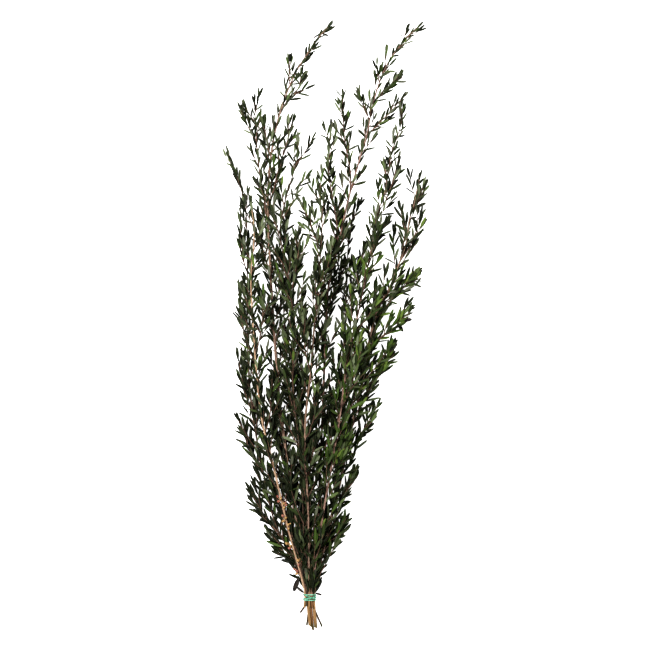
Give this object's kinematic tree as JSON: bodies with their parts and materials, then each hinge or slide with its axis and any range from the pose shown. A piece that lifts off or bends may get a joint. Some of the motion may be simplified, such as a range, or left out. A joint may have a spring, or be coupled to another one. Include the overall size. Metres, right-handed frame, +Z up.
{
  "type": "bundle of tea tree foliage",
  "caption": "Long fan-shaped bundle of tea tree stems with narrow dark green leaves, tied with a rubber band near the cut ends and lying on its side.",
  "frame": {"origin": "on the surface, under the middle of the bundle's box", "axes": "+X across the fan of stems, +Y from the cut butts to the leaf tips, +Z up from the surface the bundle lies on"},
  "size_m": [0.2628, 0.7814, 0.0951],
  "materials": {
    "stem": "matt tan to grey-brown bark, paler where it was cut",
    "leaf": "preserved leaf, dark green with a soft sheen",
    "fresh_leaf": "preserved leaf, fresher mid green with a soft sheen",
    "tie": "mint green rubber band, slightly glossy"
  },
  "bodies": {
    "root": {"tie_band": "tie", "stem_far_left": "stem", "stem_back_left": "stem", "stem_back_right": "stem", "stem_left_front": "stem", "stem_tall_left": "stem", "stem_tall_right": "stem", "stem_outer_right": "stem", "stem_inner_left": "stem", "stem_centre": "stem", "stem_right": "stem", "fork_left": "leaf", "fork_inner_left": "leaf", "fork_centre": "leaf", "fork_inner_right": "leaf", "fork_right": "leaf", "fork_outer_right": "leaf", "shoot_far_left_1": "leaf", "shoot_far_left_2": "leaf", "shoot_far_left_3": "leaf", "shoot_far_left_4": "leaf", "shoot_far_left_5": "leaf", "shoot_far_left_6": "leaf", "shoot_left_front_1": "leaf", "shoot_left_front_2": "leaf", "shoot_left_front_3": "leaf", "shoot_tall_left_1": "leaf", "shoot_tall_left_2": "leaf", "shoot_tall_left_3": "leaf", "shoot_tall_left_4": "leaf", "shoot_tall_left_5": "leaf", "shoot_fork_left_1": "leaf", "shoot_inner_left_1": "leaf", "shoot_inner_left_2": "leaf", "shoot_inner_left_3": "leaf", "shoot_centre_1": "leaf", "shoot_centre_2": "leaf", "shoot_centre_3": "leaf", "shoot_centre_4": "leaf", "shoot_tall_right_1": "leaf", "shoot_tall_right_2": "leaf", "shoot_tall_right_3": "leaf", "shoot_tall_right_4": "leaf", "shoot_tall_right_5": "leaf", "shoot_right_1": "fresh_leaf", "shoot_right_2": "fresh_leaf", "shoot_right_3": "fresh_leaf", "shoot_right_4": "fresh_leaf", "shoot_outer_right_1": "fresh_leaf", "shoot_outer_right_2": "fresh_leaf", "shoot_outer_right_3": "fresh_leaf", "shoot_outer_right_4": "fresh_leaf", "shoot_outer_right_5": "fresh_leaf", "shoot_outer_right_6": "fresh_leaf", "shoot_outer_right_7": "fresh_leaf", "shoot_outer_right_8": "fresh_leaf", "shoot_back_left_1": "leaf", "shoot_back_left_2": "leaf", "shoot_back_right_1": "leaf", "shoot_back_right_2": "leaf"}
  },
  "joints": []
}
